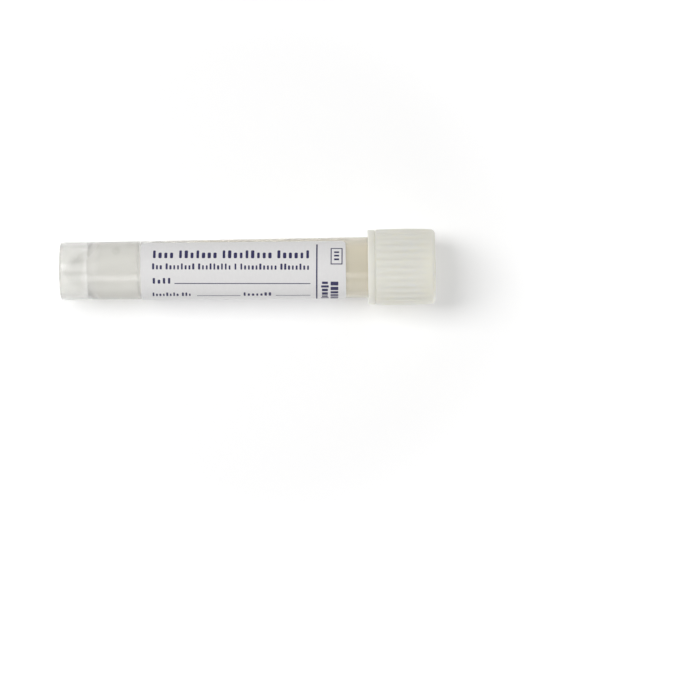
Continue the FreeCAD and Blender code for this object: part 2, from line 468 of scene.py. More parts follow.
@dataclass(frozen=True)
class LabelFilm(Finish):
    """Coated white label paper, cool and matt, with a trace of fibre."""

    pale: tuple[float, float, float] = from_screen(226, 225, 225)
    shade: tuple[float, float, float] = from_screen(219, 218, 218)
    refraction: float = 1.45
    matt: float = 0.62
    fibre_sheen: float = 0.14
    fibre_scale: float = 900.0
    fibre_stretch: tuple[float, float, float] = (1.0, 1.0, 2.6)
    fibre_strength: float = 0.3
    fibre_depth: float = 0.000012

    def shader(self, graph: Graph) -> Value:
        """Adds the paper's shader, with fibres drawn out round the tube.

        Args:
            graph: the material's tree.

        Returns:
            The shader.
        """
        fibre = graph.noise(self.fibre_scale, 4.0, graph.object_place(self.fibre_stretch))
        return graph.node(
            "ShaderNodeBsdfPrincipled",
            None,
            {
                "Base Color": graph.tint(fibre, self.shade, self.pale),
                "Roughness": self.matt - self.fibre_sheen * fibre,
                "IOR": self.refraction,
                "Normal": graph.bump(fibre, self.fibre_strength, self.fibre_depth),
            },
        )


@dataclass(frozen=True)
class Ink(Finish):
    """Printing ink, a little uneven in its cover: thin above worn_from, over a span of worn_over."""

    colour: tuple[float, float, float] = from_screen(20, 16, 66)
    worn: tuple[float, float, float] = from_screen(38, 34, 88)
    worn_from: float = 0.56
    worn_over: float = 0.14
    refraction: float = 1.45
    sheen: tuple[float, float] = (0.38, 0.58)
    cover_scale: float = 2400.0

    def shader(self, graph: Graph) -> Value:
        """Adds the ink's shader.

        Args:
            graph: the material's tree.

        Returns:
            The shader.
        """
        low, high = self.sheen
        cover = graph.noise(self.cover_scale, 3.0)
        thin = ((cover - self.worn_from) / self.worn_over).eased()
        return graph.node(
            "ShaderNodeBsdfPrincipled",
            None,
            {
                "Base Color": graph.tint(thin, self.colour, self.worn),
                "Roughness": low + (high - low) * cover,
                "IOR": self.refraction,
            },
        )


@dataclass(frozen=True)
class StageWhite(Finish):
    """White paper of the studio. It shows the object's shadow and is see-through from behind.

    Its own light, which only the camera sees, grows from near_light to far_light over a fade that
    starts at a reach from the sheet's middle, both in metres.
    """

    near_light: float
    far_light: float = 1.0
    reach: float = 0.044
    fade: float = 0.13
    albedo: float = 0.93

    def shader(self, graph: Graph) -> Value:
        """Adds the paper's shader.

        Args:
            graph: the material's tree.

        Returns:
            The shader.
        """
        away = graph.node("ShaderNodeVectorMath", {"operation": "LENGTH"}, {0: graph.object_place()}, "Value")
        far = ((away - self.reach) / self.fade).eased()
        own = far * (self.far_light - self.near_light) + self.near_light
        glow = graph.node("ShaderNodeEmission", None, {"Strength": own * graph.seen_directly()})
        paper = graph.node("ShaderNodeBsdfDiffuse", None, {"Color": (self.albedo,) * 3 + (1.0,)})
        front = graph.node("ShaderNodeAddShader", None, {0: paper, 1: glow})
        back = graph.node("ShaderNodeBsdfTransparent")
        side = graph.node("ShaderNodeNewGeometry", output="Backfacing")
        return graph.node("ShaderNodeMixShader", None, {0: side, 1: front, 2: back})


# ---------------------------------------------------------------------------------------------
# Turned meshes


class Wall(Enum):
    """What a stretch of a turned outline carries."""

    PLAIN = "plain"
    THREADED = "threaded"
    RIBBED = "ribbed"


@dataclass(frozen=True)
class Corner:
    """One corner of a turned outline, and the edge that runs on from it."""

    radius: float
    height: float
    rounding: float = 0.0
    rows: int = 1
    wall: Wall = Wall.PLAIN


@dataclass(frozen=True)
class OutlinePoint:
    """One place on a finished outline."""

    radius: float
    height: float
    wall: Wall


def ball(centre_height: float, radius: float, start_deg: float, end_deg: float, steps: int) -> list[Corner]:
    """Corners along an arc about a centre on the axis.

    Args:
        centre_height: height of the centre.
        radius: radius of the arc.
        start_deg: first angle below the horizon.
        end_deg: last angle below the horizon.
        steps: how many edges.

    Returns:
        The corners, first to last.
    """
    corners = []
    for step in range(steps + 1):
        angle = math.radians(start_deg + (end_deg - start_deg) * step / steps)
        corners.append(Corner(radius * math.cos(angle), centre_height - radius * math.sin(angle)))
    return corners


def rounded(before: Corner, here: Corner, after: Corner, steps: int) -> list[tuple[float, float]]:
    """Places along the arc that rounds a corner off.

    Args:
        before: the corner before it.
        here: the corner to round, by its own rounding.
        after: the corner after it.
        steps: how many edges the arc has.

    Returns:
        Radius and height of each place, from the edge before to the edge after.
    """
    at = Vector((here.radius, here.height))
    back = (Vector((before.radius, before.height)) - at).normalized()
    onward = (Vector((after.radius, after.height)) - at).normalized()
    half = back.angle(onward) / 2
    centre = at + (back + onward).normalized() * (here.rounding / math.sin(half))
    start = at + back * (here.rounding / math.tan(half)) - centre
    end = at + onward * (here.rounding / math.tan(half)) - centre
    turn = start.angle_signed(end)
    places = []
    for step in range(steps + 1):
        angle = -turn * step / steps
        across = start.x * math.cos(angle) - start.y * math.sin(angle)
        up = start.x * math.sin(angle) + start.y * math.cos(angle)
        places.append((centre.x + across, centre.y + up))
    return places


def walk(corners: list[Corner]) -> list[OutlinePoint]:
    """Places along an outline that starts and ends on the axis, with its corners rounded off.

    Args:
        corners: the outline's corners.

    Returns:
        Every place where a ring of the mesh stands.
    """
    rings: list[list[tuple[float, float]]] = []
    for i, here in enumerate(corners):
        if here.rounding:
            steps = max(LEAST_ARC_STEPS, min(MOST_ARC_STEPS, round(here.rounding * ARC_STEPS_IN_MM)))
            rings.append(rounded(corners[i - 1], here, corners[i + 1], steps))
        else:
            rings.append([(here.radius, here.height)])
    points: list[OutlinePoint] = []
    for i, (here, ring) in enumerate(zip(corners, rings)):
        points += [OutlinePoint(radius, height, here.wall) for radius, height in ring]
        if i + 1 == len(corners):
            break
        (radius, height), (next_radius, next_height) = ring[-1], rings[i + 1][0]
        for row in range(1, here.rows):
            share = row / here.rows
            between = radius + (next_radius - radius) * share
            points.append(OutlinePoint(between, height + (next_height - height) * share, here.wall))
    return points


def turned(name: str, points: list[OutlinePoint], columns: int) -> bpy.types.Mesh:
    """Turns an outline about the axis as a closed mesh in metres.

    Args:
        name: the mesh's name.
        points: the outline, from the axis back to the axis.
        columns: facets in a full turn.

    Returns:
        The mesh, with an attribute for each kind of wall.
    """
    places: list[tuple[float, float, float]] = []
    marks: list[Wall] = []
    rings: list[list[int]] = []
    for point in points:
        first = len(places)
        on_axis = point.radius < AXIS_RADIUS
        for column in range(1 if on_axis else columns):
            angle = FULL_TURN * column / columns
            x = point.radius * math.cos(angle) * MM
            y = point.radius * math.sin(angle) * MM
            places.append((x, y, point.height * MM))
            marks.append(point.wall)
        rings.append(list(range(first, len(places))))
    faces = []
    for one, other in zip(rings, rings[1:]):
        for column in range(columns):
            after = (column + 1) % columns
            corners = [
                one[column % len(one)],
                one[after % len(one)],
                other[after % len(other)],
                other[column % len(other)],
            ]
            faces.append([v for i, v in enumerate(corners) if v != corners[i - 1]])
    mesh = bpy.data.meshes.new(name)
    mesh.from_pydata(places, [], faces)
    for wall in (Wall.THREADED, Wall.RIBBED):
        marked = mesh.attributes.new(wall.value, "FLOAT", "POINT")
        marked.data.foreach_set("value", [1.0 if mark is wall else 0.0 for mark in marks])
    face_outwards(mesh)
    return mesh


def face_outwards(mesh: bpy.types.Mesh) -> None:
    """Turns every face of a closed mesh outwards.

    Args:
        mesh: the mesh.
    """
    work = bmesh.new()
    work.from_mesh(mesh)
    bmesh.ops.recalc_face_normals(work, faces=work.faces)
    work.to_mesh(mesh)
    work.free()


def add_object(name: str, mesh: bpy.types.Mesh) -> bpy.types.Object:
    """Links a new object with a mesh to the scene, at the origin.

    Args:
        name: the object's name.
        mesh: the mesh.

    Returns:
        The object.
    """
    made = bpy.data.objects.new(name, mesh)
    bpy.context.scene.collection.objects.link(made)
    return made


# ---------------------------------------------------------------------------------------------
# Shapes that follow a rule, as Geometry Nodes


@dataclass
class Rule:
    """A Geometry Nodes tree with named inputs that changes one mesh, and is then applied."""

    name: str
    values: dict[str, float]
    finish: bpy.types.Material

    def build(self) -> tuple[bpy.types.NodeTree, dict[str, str]]:
        """Builds the tree.

        Returns:
            The tree, and the identifier of each of its inputs by name.
        """
        tree = bpy.data.node_groups.new(self.name, "GeometryNodeTree")
        tree.is_modifier = True
        sockets = {"Geometry": "NodeSocketGeometry", "Finish": "NodeSocketMaterial"}
        sockets.update(dict.fromkeys(self.values, "NodeSocketFloat"))
        named = {}
        for label, kind in sockets.items():
            named[label] = tree.interface.new_socket(label, in_out="INPUT", socket_type=kind).identifier
        tree.interface.new_socket("Geometry", in_out="OUTPUT", socket_type="NodeSocketGeometry")
        graph = Graph(tree)
        entry = graph.node("NodeGroupInput", output="Geometry")
        real = graph.node("GeometryNodeRealizeInstances", None, {0: self.shape(graph, entry)})
        inputs = {"Geometry": real, "Material": entry.output("Finish")}
        graph.node("NodeGroupOutput", None, {0: graph.node("GeometryNodeSetMaterial", None, inputs)})
        return tree, named

    def shape(self, graph: Graph, entry: Value) -> Value:
        """Adds the nodes of the rule itself.

        Args:
            graph: the tree.
            entry: the tree's own geometry, whose node gives its other inputs too.

        Returns:
            The changed geometry.
        """
        raise NotImplementedError

    def apply(self, target: bpy.types.Object) -> None:
        """Runs the tree on an object and keeps the result as its plain mesh.

        Args:
            target: the object, which is left without a modifier.
        """
        tree, named = self.build()
        modifier = target.modifiers.new(self.name, "NODES")
        modifier.node_group = tree
        modifier[named["Finish"]] = self.finish
        for label, number in self.values.items():
            modifier[named[label]] = float(number)
        bpy.context.view_layer.update()
        settled = target.evaluated_get(bpy.context.evaluated_depsgraph_get())
        mesh = bpy.data.meshes.new_from_object(settled)
        before = target.data
        target.modifiers.clear()
        target.data = mesh
        bpy.data.meshes.remove(before)


class WallRule(Rule):
    """A rule that moves the points of one kind of wall away from the axis, or towards it."""

    wall: ClassVar[Wall]

    def shape(self, graph: Graph, entry: Value) -> Value:
        """Moves each marked point from its distance to the one that the rule gives.

        Args:
            graph: the tree.
            entry: the tree's inputs.

        Returns:
            The changed geometry.
        """
        across, along, up = graph.position().parts()
        radius = (across * across + along * along).maths("SQRT").maths("MAXIMUM", MM / 100)
        change = self.rise(entry, along.maths("ARCTAN2", across), up, radius)
        share = change * graph.attribute(self.wall.value) / radius + 1.0
        return graph.moved(entry, across * share, along * share, up)

    def rise(self, entry: Value, angle: Value, up: Value, radius: Value) -> Value:
        """How far out a point of the wall goes.

        Args:
            entry: the tree's inputs.
            angle: the point's angle about the axis.
            up: its height.
            radius: its distance from the axis.

        Returns:
            The distance to move it.
        """
        raise NotImplementedError


class ThreadRule(WallRule):
    """Raises a right-handed thread from a round wall, outwards or, with a negative depth, inwards."""

    wall = Wall.THREADED

    def rise(self, entry: Value, angle: Value, up: Value, radius: Value) -> Value:
        """A crest that climbs one pitch a turn and runs out at both ends.

        Args:
            entry: the tree's inputs.
            angle: the point's angle about the axis.
            up: its height.
            radius: not used.

        Returns:
            The distance to move it.
        """
        pitch = entry.output("Pitch")
        climbed = (up - entry.output("Low")) / pitch - angle / FULL_TURN - entry.output("Phase")
        off_crest = (climbed.maths("FRACT") - 0.5).maths("ABSOLUTE") * pitch
        crest = ((entry.output("Half base") - off_crest) / entry.output("Flank")).eased()
        run_in = ((up - entry.output("Low")) / entry.output("Run out")).eased()
        run_out = ((entry.output("High") - up) / entry.output("Run out")).eased()
        return crest * run_in * run_out * entry.output("Depth")


class RibRule(WallRule):
    """Presses a ring of upright round hollows into a wall, which leaves ribs between them."""

    wall = Wall.RIBBED

    def rise(self, entry: Value, angle: Value, up: Value, radius: Value) -> Value:
        """No point of the wall stays inside a hollow.

        Args:
            entry: the tree's inputs.
            angle: the point's angle about the axis.
            up: not used.
            radius: its distance from the axis.

        Returns:
            The distance to move it.
        """
        step = FULL_TURN / entry.output("Count")
        off_middle = ((angle / step).maths("FRACT") - 0.5) * step
        hollow = entry.output("Hollow radius")
        centre = entry.output("Floor radius") + hollow
        aside = centre * off_middle.maths("SINE")
        room = (hollow * hollow - aside * aside).maths("MAXIMUM", 0.0).maths("SQRT")
        limit = centre * off_middle.maths("COSINE") - room
        return radius.maths("SMOOTH_MIN", limit, entry.output("Softness")) - radius


class PrintRule(Rule):
    """Sets one printed cell on each point of a flat layout, and wraps them round the drafted label."""

    TILE: ClassVar[dict[str, object]] = {
        "Size": (2.0, 2.0, 1.0),
        "Vertices X": 9,
        "Vertices Y": 7,
        "Vertices Z": 2,
    }

    def shape(self, graph: Graph, entry: Value) -> Value:
        """Adds the print's rule: cells with rounded ends, laid out flat and wrapped round the axis.

        Args:
            graph: the tree.
            entry: the tree's inputs.

        Returns:
            The changed geometry.
        """
        tile = graph.node("GeometryNodeMeshCube", None, self.TILE)
        tile = graph.node(
            "GeometryNodeStoreNamedAttribute",
            {"data_type": "FLOAT_VECTOR", "domain": "POINT"},
            {"Geometry": tile, "Name": "cell", "Value": graph.position()},
        )
        cells = graph.node("GeometryNodeInstanceOnPoints", None, {"Points": entry, "Instance": tile})
        cells = graph.node("GeometryNodeRealizeInstances", None, {0: cells})
        cell = graph.attribute("cell", "FLOAT_VECTOR")
        points = {0: graph.position(), 1: cell}
        middle = graph.node("ShaderNodeVectorMath", {"operation": "SUBTRACT"}, points, "Vector")
        centre_along, centre_round, _ = middle.parts()
        along, around, lift = cell.parts()
        half_long, half_tall, rounding = (graph.attribute(size) for size in PrintedCell.SIZES)
        straight = entry.output("Straight share")
        end = ((along.maths("ABSOLUTE") - straight) / (1.0 - straight)).clamped()
        quarter = end * (math.pi / 2)
        core = (along.maths("ABSOLUTE") / straight).clamped() * (half_long - rounding)
        reach = (core + rounding * quarter.maths("SINE")) * along.maths("SIGN")
        narrowed = half_tall - rounding * (1.0 - quarter.maths("COSINE"))
        level_along = centre_along + reach
        level_round = centre_round + around * narrowed
        lean = entry.output("Lean")
        flat_along = level_along + level_round * lean
        flat_round = level_round - (level_along - entry.output("Middle")) * lean
        surface = entry.output("Radius") + flat_along * entry.output("Slope")
        angle = flat_round / surface
        radius = surface + (lift + 0.5) * entry.output("Thickness") - entry.output("Sunk")
        x, y = -radius * angle.maths("SINE"), -radius * angle.maths("COSINE")
        return graph.moved(cells, x, y, flat_along + entry.output("Low"))


# ---------------------------------------------------------------------------------------------
# The tube's own pieces


@dataclass
class SubAssembly:
    """A piece of the object that stands for one node of the frame."""

    node: str
    body: str
    slot: str

    def foot(self) -> float:
        """Height of the node's lower end."""
        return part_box(self.node)[0].z / MM

    def top(self) -> float:
        """Height of the node's upper end."""
        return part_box(self.node)[1].z / MM

    def settle(self, piece: bpy.types.Object, replaces: bool = True) -> None:
        """Ties a finished piece to its body and the node that it stands for.

        Args:
            piece: the finished piece.
            replaces: whether it stands for the node.
        """
        piece.data.shade_smooth()
        piece.data.set_sharp_from_angle(angle=SMOOTH_ANGLE)
        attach(piece, self.body)
        if replaces:
            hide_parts(self.node)
        log.info("%s: %d faces on %s", piece.name, len(piece.data.polygons), self.body)


@dataclass(frozen=True)
class Bore:
    """The tube's inside: a drafted bore over a pointed floor with a round tip."""

    mouth_radius: float = 5.5
    radius: float = 5.25
    rounding: float = 1.2
    half_angle_deg: float = 34.0
    tip_height: float = 3.5
    tip_radius: float = 1.6

    @property
    def half_angle(self) -> float:
        """Angle between the axis and the floor's slope."""
        return math.radians(self.half_angle_deg)

    def slope_height(self, radius: float) -> float:
        """Height of the floor's slope at a distance from the axis."""
        point = self.tip_height - self.tip_radius / math.sin(self.half_angle)
        return point + radius / math.tan(self.half_angle)


@dataclass(frozen=True)
class Thread:
    """A thread's form. It starts and ends at a gap from the ends of its wall."""

    pitch: float = 3.0
    depth: float = 0.55
    half_base: float = 0.75
    flank: float = 0.55
    run_out: float = 1.1
    phase: float = 0.0
    foot_gap: float = 1.6
    top_gap: float = 0.5

    def apply(self, piece: bpy.types.Object, foot: float, top: float, finish: bpy.types.Material) -> None:
        """Raises the thread from a piece's threaded wall.

        Args:
            piece: the piece.
            foot: height of the wall's lower end.
            top: height of its upper end.
            finish: what the piece is made of.
        """
        values = {
            "Pitch": self.pitch * MM,
            "Depth": self.depth * MM,
            "Low": (foot + self.foot_gap) * MM,
            "High": (top - self.top_gap) * MM,
            "Half base": self.half_base * MM,
            "Flank": self.flank * MM,
            "Run out": self.run_out * MM,
            "Phase": self.phase,
        }
        ThreadRule(f"{piece.name}_thread", values, finish).apply(piece)


@dataclass
class MouldedTube(SubAssembly):
    """Clear tube: drafted body, stepped-in threaded neck, pointed floor, and a skirt to stand on."""

    bore: Bore = Bore()
    thread: Thread = Thread()
    foot_radius: float = 6.37
    foot_rounding: float = 0.35
    skirt_wall: float = 0.95
    skirt_draft_deg: float = 0.4
    skirt_rounding: float = 0.12
    root_width: float = 0.45
    root_roundings: tuple[float, float] = (0.24, 0.2)
    shoulder_height: float = 69.3
    shoulder_radius: float = 6.709
    shoulder_slope: float = 0.4
    shoulder_rounding: float = 0.15
    neck_radius: float = 6.2
    neck_rounding: float = 0.1
    rim_rounding: float = 0.18
    floor_wall: float = 1.0
    gate_radius: float = 0.5
    gate_length: float = 0.2
    gate_rounding: float = 0.06
    skirt_rows: int = 8
    body_rows: int = 10
    thread_rows: int = 96
    tip_steps: int = 12
    columns: int = 256

    def corners(self) -> list[Corner]:
        """Outline of the tube.

        Returns:
            Its corners, from the underside of the tip, round the wall, to the bottom of the bore.
        """
        bore, rim = self.bore, self.top()
        root_radius = self.foot_radius - self.skirt_wall - self.root_width
        wall_up = self.floor_wall / math.sin(bore.half_angle)
        root_height = bore.slope_height(root_radius) - wall_up
        skirt_inner = self.foot_radius - self.skirt_wall
        skirt_root = skirt_inner - root_height * math.tan(math.radians(self.skirt_draft_deg))
        tip_radius = bore.tip_radius + self.floor_wall
        gate_edge_deg = math.degrees(math.acos(self.gate_radius / tip_radius))
        gate_foot = bore.tip_height - tip_radius - self.gate_length
        neck_foot = self.shoulder_height + self.shoulder_slope
        first_rounding, last_rounding = self.root_roundings
        return [
            Corner(0, gate_foot),
            Corner(self.gate_radius, gate_foot, self.gate_rounding),
            *ball(bore.tip_height, tip_radius, gate_edge_deg, bore.half_angle_deg, self.tip_steps),
            Corner(root_radius, root_height, first_rounding),
            Corner(skirt_root, root_height, last_rounding, self.skirt_rows),
            Corner(skirt_inner, 0, self.skirt_rounding),
            Corner(self.foot_radius, 0, self.foot_rounding, self.body_rows),
            Corner(self.shoulder_radius, self.shoulder_height, self.shoulder_rounding),
            Corner(self.neck_radius, neck_foot, self.neck_rounding, self.thread_rows, Wall.THREADED),
            Corner(self.neck_radius, rim, self.rim_rounding),
            Corner(bore.mouth_radius, rim, self.rim_rounding, self.body_rows),
            Corner(bore.radius, bore.slope_height(bore.radius), bore.rounding),
            *ball(bore.tip_height, bore.tip_radius, bore.half_angle_deg, 90, self.tip_steps),
        ]

    def build(self, finish: Finish) -> None:
        """Builds the tube with its thread and dresses it.

        Args:
            finish: what the piece is made of.
        """
        piece = add_object("moulded_tube", turned("moulded_tube", walk(self.corners()), self.columns))
        self.thread.apply(piece, self.shoulder_height, self.top(), finish.material())
        self.settle(piece)


@dataclass
class ScrewCap(SubAssembly):
    """Screw cap as one moulding: ribbed side, collar, thread, plug seal, and boss with a shaft socket."""

    thread: Thread = Thread(depth=-0.55, half_base=0.6, flank=0.45, phase=0.5)
    collar_radius: float = 8.28
    collar_length: float = 1.5
    collar_roundings: tuple[float, float] = (0.07, 0.18)
    groove_radius: float = 8.12
    groove_width: float = 0.3
    groove_rounding: float = 0.08
    side_foot_radius: float = 8.33
    waist_radius: float = 8.44
    waist_height: float = 8.7
    side_top_radius: float = 8.27
    crown_rounding: float = 0.95
    crown_gap: float = 0.1
    rib_count: int = 30
    rib_floor_radius: float = 8.26
    rib_hollow_radius: float = 1.24
    rib_softness: float = 0.05
    bore_radius: float = 6.95
    lead_in: float = 0.35
    lead_in_rounding: float = 0.08
    top_wall: float = 1.5
    plug_radius: float = 5.45
    plug_wall: float = 0.8
    plug_length: float = 2.6
    plug_rounding: float = 0.25
    hollow_rounding: float = 0.15
    hub_radius: float = 2.7
    hub_length: float = 4.6
    hub_rounding: float = 0.1
    socket_radius: float = 1.2
    funnel_radius: float = 2.35
    funnel_length: float = 3.0
    funnel_rounding: float = 0.05
    gate_radius: float = 1.3
    gate_depth: float = 0.2
    gate_rounding: float = 0.06
    stub_radius: float = 0.42
    stub_length: float = 0.12
    stub_rounding: float = 0.04
    thread_rows: int = 80
    side_rows: int = 36
    crown_rows: int = 6
    columns: int = 360

    def side(self, foot: float, top: float) -> list[Corner]:
        """The ribbed side, which swells to a waist.

        Args:
            foot: height of the side's lower end.
            top: height of its upper end.

        Returns:
            Corners along the side, from its upper end down.
        """
        waist = self.foot() + self.waist_height
        corners = []
        for row in range(self.side_rows + 1):
            height = top + (foot - top) * row / self.side_rows
            end, end_radius = (top, self.side_top_radius) if height > waist else (foot, self.side_foot_radius)
            share = (height - waist) / (end - waist)
            radius = self.waist_radius - (self.waist_radius - end_radius) * share * share
            corners.append(Corner(radius, height, wall=Wall.RIBBED))
        return corners

    def outside(self) -> list[Corner]:
        """Outline of the outside.

        Returns:
            Its corners, from the gate's dish over the crown to the cap's lower edge.
        """
        foot, top = self.foot(), self.top()
        collar_top = foot + self.collar_length
        side_foot = collar_top + self.groove_width
        dish = top - self.gate_depth
        upper_rounding, lower_rounding = self.collar_roundings
        return [
            Corner(0, dish + self.stub_length),
            Corner(self.stub_radius, dish + self.stub_length, self.stub_rounding),
            Corner(self.stub_radius, dish, self.stub_rounding),
            Corner(self.gate_radius, dish, self.gate_rounding),
            Corner(self.gate_radius, top, self.gate_rounding, self.crown_rows),
            Corner(self.side_top_radius, top, self.crown_rounding, wall=Wall.RIBBED),
            *self.side(side_foot, top - self.crown_rounding - self.crown_gap),
            Corner(self.groove_radius, side_foot, self.groove_rounding),
            Corner(self.groove_radius, collar_top, self.groove_rounding),
            Corner(self.collar_radius, collar_top, upper_rounding),
            Corner(self.collar_radius, foot, lower_rounding),
        ]

    def inside(self, rim: float) -> list[Corner]:
        """Outline of the inside.

        Args:
            rim: height of the tube's rim, which the cap seats on.

        Returns:
            Its corners, from the lead-in, past thread, seat, plug and boss, to the axis.
        """
        plug_inner = self.plug_radius - self.plug_wall
        hub_foot = rim - self.hub_length
        hollow_top = self.top() - self.top_wall
        return [
            Corner(self.bore_radius + self.lead_in, self.foot(), self.lead_in_rounding),
            Corner(self.bore_radius, self.foot() + self.lead_in, 0, self.thread_rows, Wall.THREADED),
            Corner(self.bore_radius, rim),
            Corner(self.plug_radius, rim),
            Corner(self.plug_radius, rim - self.plug_length, self.plug_rounding),
            Corner(plug_inner, rim - self.plug_length, self.plug_rounding),
            Corner(plug_inner, hollow_top, self.hollow_rounding),
            Corner(self.hub_radius, hollow_top, self.hollow_rounding),
            Corner(self.hub_radius, hub_foot, self.hub_rounding),
            Corner(self.funnel_radius, hub_foot, self.funnel_rounding),
            Corner(self.socket_radius, hub_foot + self.funnel_length, self.hub_rounding),
            Corner(self.socket_radius, hollow_top),
            Corner(0, hollow_top),
        ]

    def build(self, finish: Finish) -> None:
        """Builds the cap with its ribs and thread and dresses it.

        Args:
            finish: what the piece is made of.
        """
        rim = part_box("tube")[1].z / MM
        points = walk(self.outside() + self.inside(rim))
        piece = add_object("screw_cap_moulding", turned("screw_cap_moulding", points, self.columns))
        material = finish.material()
        ribs = {
            "Count": self.rib_count,
            "Floor radius": self.rib_floor_radius * MM,
            "Hollow radius": self.rib_hollow_radius * MM,
            "Softness": self.rib_softness * MM,
        }
        RibRule("cap_ribs", ribs, material).apply(piece)
        self.thread.apply(piece, self.foot(), rim, material)
        self.settle(piece)


@dataclass
class PrintedCell:
    """One cell of the print: where its middle is on the flat label, and its size."""

    along: float
    around: float
    half_long: float
    half_tall: float
    rounding: float = 0.0

    SIZES: ClassVar[tuple[str, ...]] = ("half_long", "half_tall", "rounding")


@dataclass
class Print:
    """The label's flat print, made of plain cells with no letters.

    Along runs up the tube from the label's lower edge, and around runs from the middle of the
    printed face towards the side that is uppermost when the tube lies down.
    """

    left: float = 2.4
    right: float = 37.45
    title_height: float = 2.0
    text_height: float = 1.35
    low_share: float = 0.7
    tall_chance: float = 0.25
    width_shares: tuple[float, ...] = (0.46, 0.52, 0.58)
    corner_share: float = 0.3
    word_gap: float = 0.55
    rule_width: float = 0.2
    box_rule_width: float = 0.22
    divider_width: float = 0.32
    arc_length: float = 1.2
    arc_overlap: float = 1.02
    block_gap: float = 0.36
    block_rounding: float = 0.12
    cells: list[PrintedCell] = field(default_factory=list)

    def line(
        self, start: float, around: float, tall: float, pitch: float, words: tuple[int, ...], seed: int
    ) -> None:
        """Adds a line of words, each a row of plain upright cells, most of them low and some tall.

        Args:
            start: where the line starts, along the label.
            around: its base line.
            tall: height of a tall cell.
            pitch: distance between two cells.
            words: how many cells each word has.
            seed: seed of the uneven widths and heights.
        """
        rng = random.Random(seed)
        for letters in words:
            for letter in range(letters):
                width = pitch * rng.choice(self.width_shares)
                height = tall if letter == 0 or rng.random() < self.tall_chance else tall * self.low_share
                middle = start + (letter + 0.5) * pitch
                corner = width * self.corner_share
                self.cells.append(PrintedCell(middle, around + height / 2, width / 2, height / 2, corner))
            start += letters * pitch + pitch * self.word_gap

    def rule(self, start: float, end: float, around: float, width: float) -> None:
        """Adds a straight rule along the label."""
        self.cells.append(PrintedCell((start + end) / 2, around, (end - start) / 2, width / 2))

    def upright(self, along: float, low: float, high: float, width: float) -> None:
        """Adds a rule round the label, as a chain of short cells that follow its curve.

        Args:
            along: where it stands along the label.
            low: its lower end, round the label.
            high: its upper end.
            width: its width.
        """
        count = max(1, math.ceil((high - low) / self.arc_length))
        half = (high - low) / count / 2
        for i in range(count):
            middle = low + half * (2 * i + 1)
            self.cells.append(PrintedCell(along, middle, width / 2, half * self.arc_overlap))

    def fields(self) -> None:
        """Adds a heading, a line below it, and ruled fields to fill in, each with its caption."""
        left, right, tall = self.left, self.right, self.text_height
        self.line(left, 2.25, self.title_height, 1.268, (4, 7, 9, 6), 3)
        self.line(left, -0.3, tall, 0.837, (3, 8, 9, 1, 10, 8), 5)
        self.line(left, -3.55, tall, 1.12, (4,), 8)
        self.rule(7.5, right, -3.5, self.rule_width)
        self.line(left, -7.4, tall, 0.76, (8, 3), 13)
        self.rule(12.4, 22.0, -7.3, self.rule_width)
        self.line(22.45, -7.4, tall, 0.93, (7,), 21)
        self.rule(29.8, right, -7.3, self.rule_width)
        self.line(left, -12.3, tall, 1.0, (5,), 34)
        self.rule(8.8, right, -12.45, self.rule_width)

    def panel(self) -> None:
        """Adds the divider and the outlined box of the end panel, with three turned bars in the box."""
        start, end, low, high = 41.9, 44.5, 1.0, 4.75
        inset = 0.1
        self.upright(38.85, -14.0, 6.0, self.divider_width)
        for around in (high, low):
            self.rule(start, end, around, self.box_rule_width)
        for along in (start + inset, end - inset):
            self.upright(along, low, high, self.box_rule_width)
        for around in (3.75, 2.9, 2.05):
            self.rule(42.65, 43.75, around, 0.4)

    def stamp(self) -> None:
        """Adds two turned columns of plain blocks, as a stamped batch mark would stand."""
        rng = random.Random(55)
        for along in (40.65, 42.75):
            around = -3.0
            for _ in range(6):
                tall = rng.choice((0.6, 0.8, 1.0))
                wide = rng.choice((1.3, 1.7, 1.7))
                cell = PrintedCell(along, around - tall / 2, wide / 2, tall / 2, self.block_rounding)
                self.cells.append(cell)
                around -= tall + self.block_gap

    def mesh(self) -> bpy.types.Mesh:
        """Lays the print out.

        Returns:
            The flat layout in metres: one point for each cell, with the cell's sizes.
        """
        self.fields()
        self.panel()
        self.stamp()
        made = bpy.data.meshes.new("label_layout")
        made.from_pydata([(cell.along * MM, cell.around * MM, 0.0) for cell in self.cells], [], [])
        for size in PrintedCell.SIZES:
            sizes = made.attributes.new(size, "FLOAT", "POINT")
            sizes.data.foreach_set("value", [getattr(cell, size) * MM for cell in self.cells])
        return made


